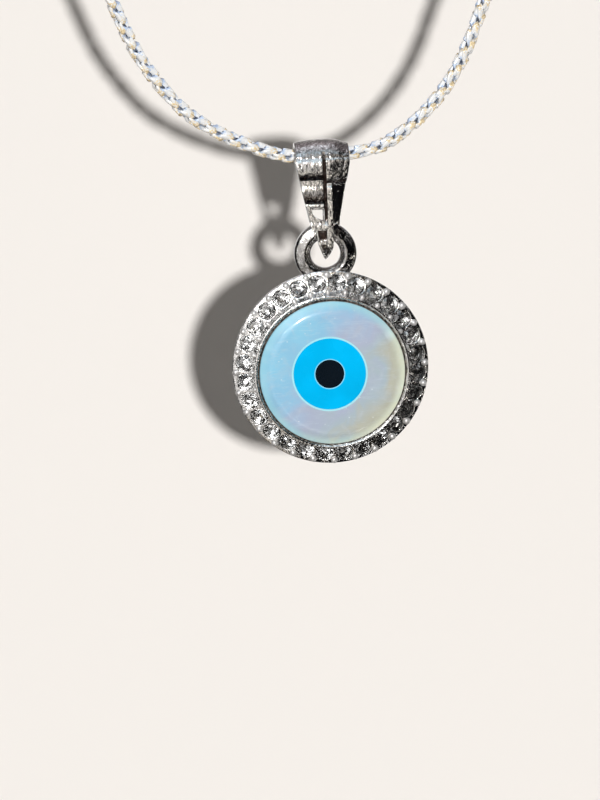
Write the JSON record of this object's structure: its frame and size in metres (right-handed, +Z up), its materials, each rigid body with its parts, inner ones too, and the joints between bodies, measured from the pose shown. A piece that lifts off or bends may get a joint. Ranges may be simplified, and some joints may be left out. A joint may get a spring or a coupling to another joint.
{
  "type": "evil eye pendant on a chain",
  "caption": "Round mother-of-pearl evil eye in a halo of set stones, hung by a ring on a folded bail that slides on a fine woven silver chain with a barrel clasp.",
  "frame": {"origin": "middle of the clasp at the top of the chain, where the necklace lies on the nape", "axes": "+Z up along the hanging pendant, -Y the way the eye looks, +X to the right seen from the front"},
  "size_m": [0.1012, 0.005, 0.1869],
  "materials": {
    "silver": "polished rhodium-plated silver",
    "chain_silver": "polished woven silver wire",
    "stone": "cut and polished",
    "shell": "polished nacre",
    "blue": "polished inlay",
    "black": "polished inlay"
  },
  "bodies": {
    "root": {"chain": "chain_silver", "clasp": "silver"},
    "bail": {"bail": "silver"},
    "drop": {"setting": "silver", "shell_disc": "shell", "blue_iris": "blue", "black_pupil": "black", "halo_stone_01": "stone", "halo_stone_02": "stone", "halo_stone_03": "stone", "halo_stone_04": "stone", "halo_stone_05": "stone", "halo_stone_06": "stone", "halo_stone_07": "stone", "halo_stone_08": "stone", "halo_stone_09": "stone", "halo_stone_10": "stone", "halo_stone_11": "stone", "halo_stone_12": "stone", "halo_stone_13": "stone", "halo_stone_14": "stone", "halo_stone_15": "stone", "halo_stone_16": "stone", "halo_stone_17": "stone", "halo_stone_18": "stone", "halo_stone_19": "stone", "halo_stone_20": "stone", "halo_stone_21": "stone", "halo_stone_22": "stone", "halo_stone_23": "stone", "halo_stone_24": "stone", "halo_stone_25": "stone", "halo_stone_26": "stone", "halo_stone_27": "stone", "halo_stone_28": "stone"}
  },
  "joints": [
    {"name": "bail_swing", "type": "hinge", "parent": "root", "child": "bail", "pos_m": [0, 0, -0.16], "axis": [1, 0, 0], "range_deg": [-60, 60]},
    {"name": "drop_swing", "type": "hinge", "parent": "bail", "child": "drop", "pos_m": [0, 0, -0.16822], "axis": [0, 1, 0], "range_deg": [-35, 35]}
  ]
}
